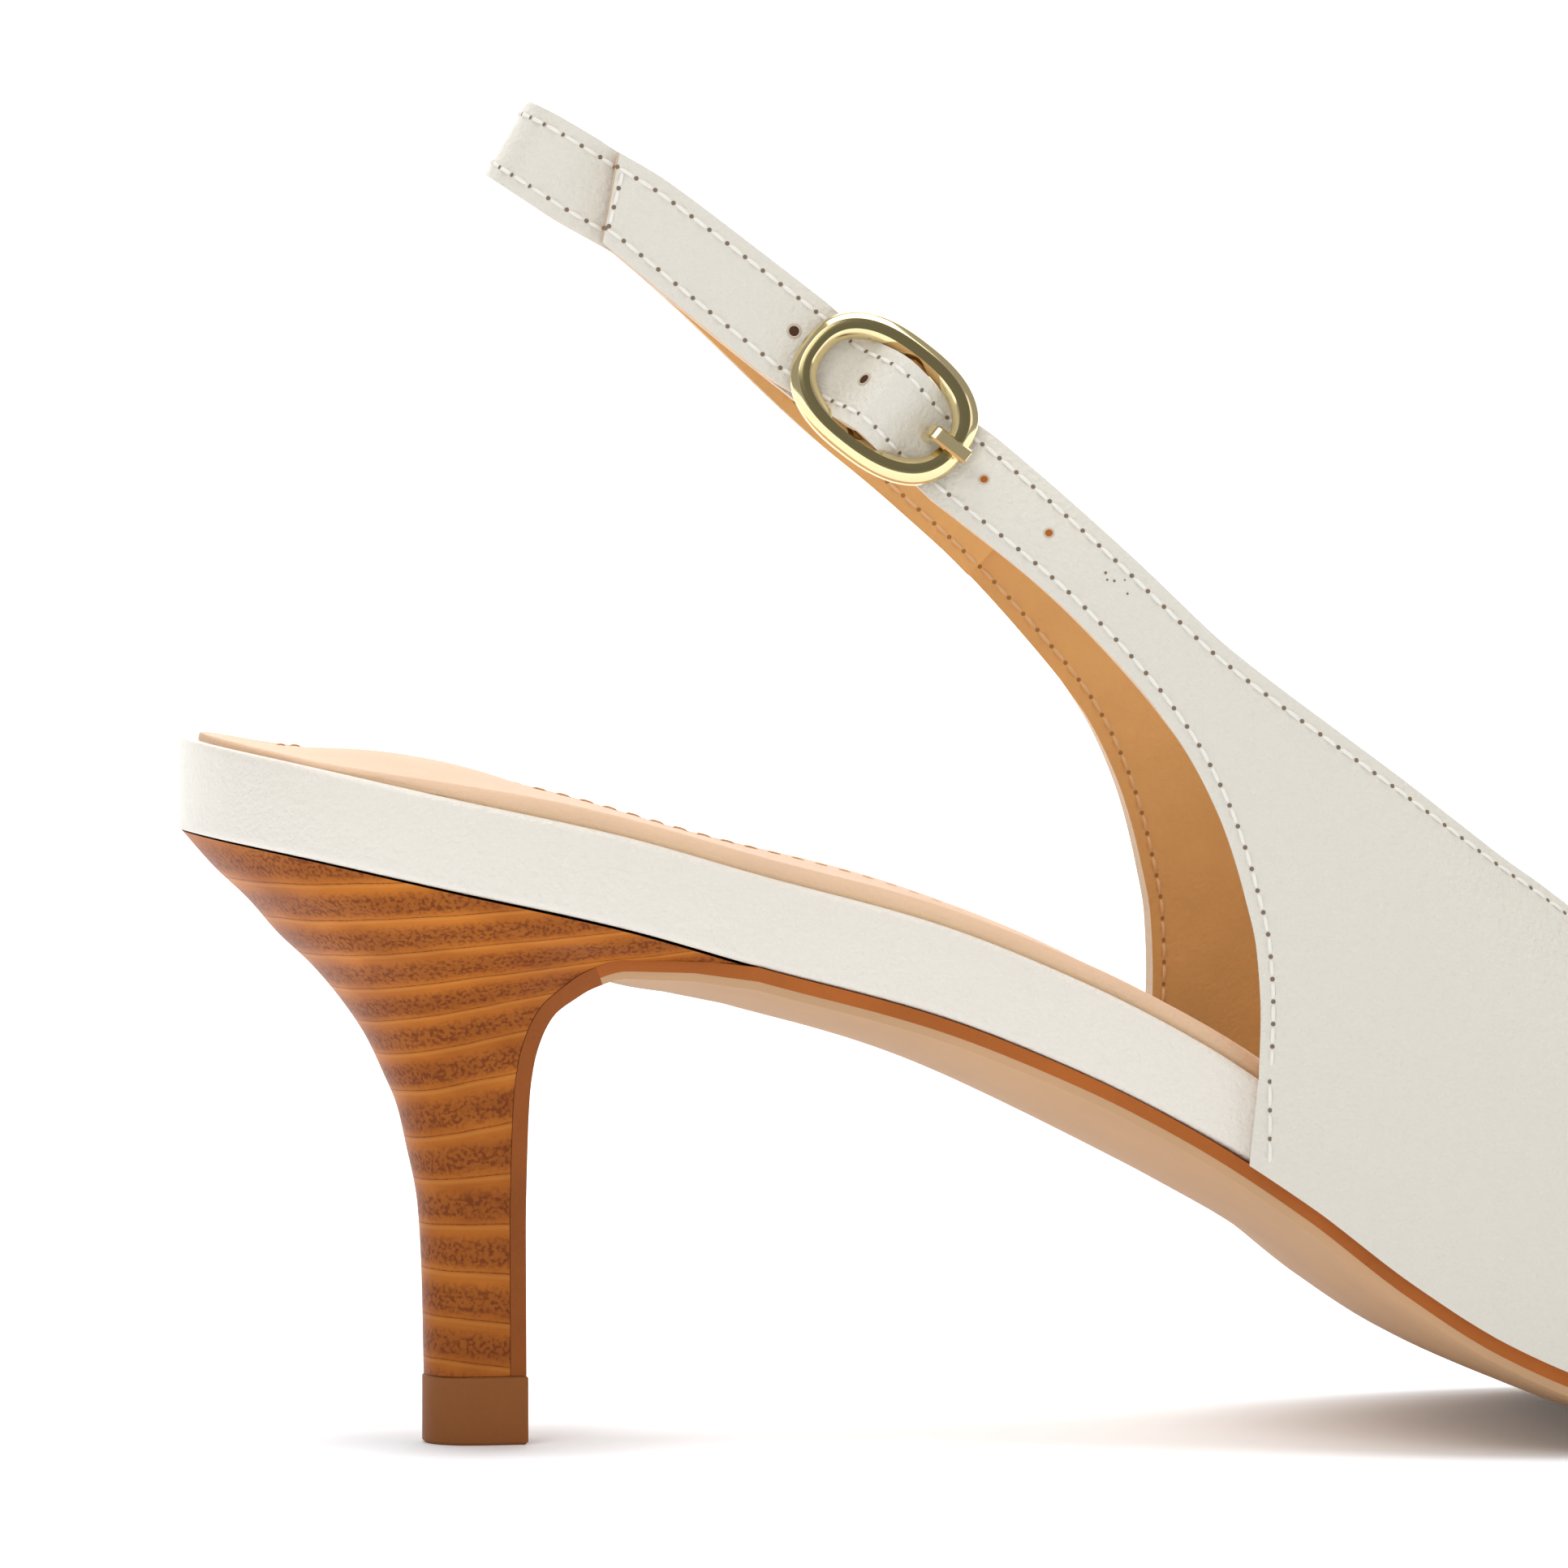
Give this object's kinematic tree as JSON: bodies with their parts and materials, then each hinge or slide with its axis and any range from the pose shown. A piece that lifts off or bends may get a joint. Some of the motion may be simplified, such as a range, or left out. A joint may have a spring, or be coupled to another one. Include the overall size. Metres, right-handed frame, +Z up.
{
  "type": "slingback pump",
  "caption": "Pointed slingback pump with a low waisted heel, a wrapped rim, a padded insole and a holed ankle strap closed by an oval buckle.",
  "frame": {"origin": "on the floor, under the middle of the heel tip", "axes": "+X from heel to toe, +Y to the inner side of the foot, +Z up from the floor"},
  "size_m": [0.2518, 0.0795, 0.1336],
  "materials": {
    "upper": "smooth off-white calf, lined with tan leather",
    "rim": "smooth off-white leather wrap",
    "insole": "matte peach-tan leather",
    "outsole": "polished natural leather, brown edge",
    "heel": "satin, stacked-look layers",
    "heel_tip": "matte brown",
    "buckle": "polished pale gold plate"
  },
  "bodies": {
    "root": {"outsole": "outsole", "wrapped_midsole": "rim", "heel": "heel", "heel_tip": "heel_tip", "insole": "insole", "upper": "upper", "sling_strap": "upper", "buckle_frame": "buckle", "buckle_prong": "buckle"}
  },
  "joints": []
}
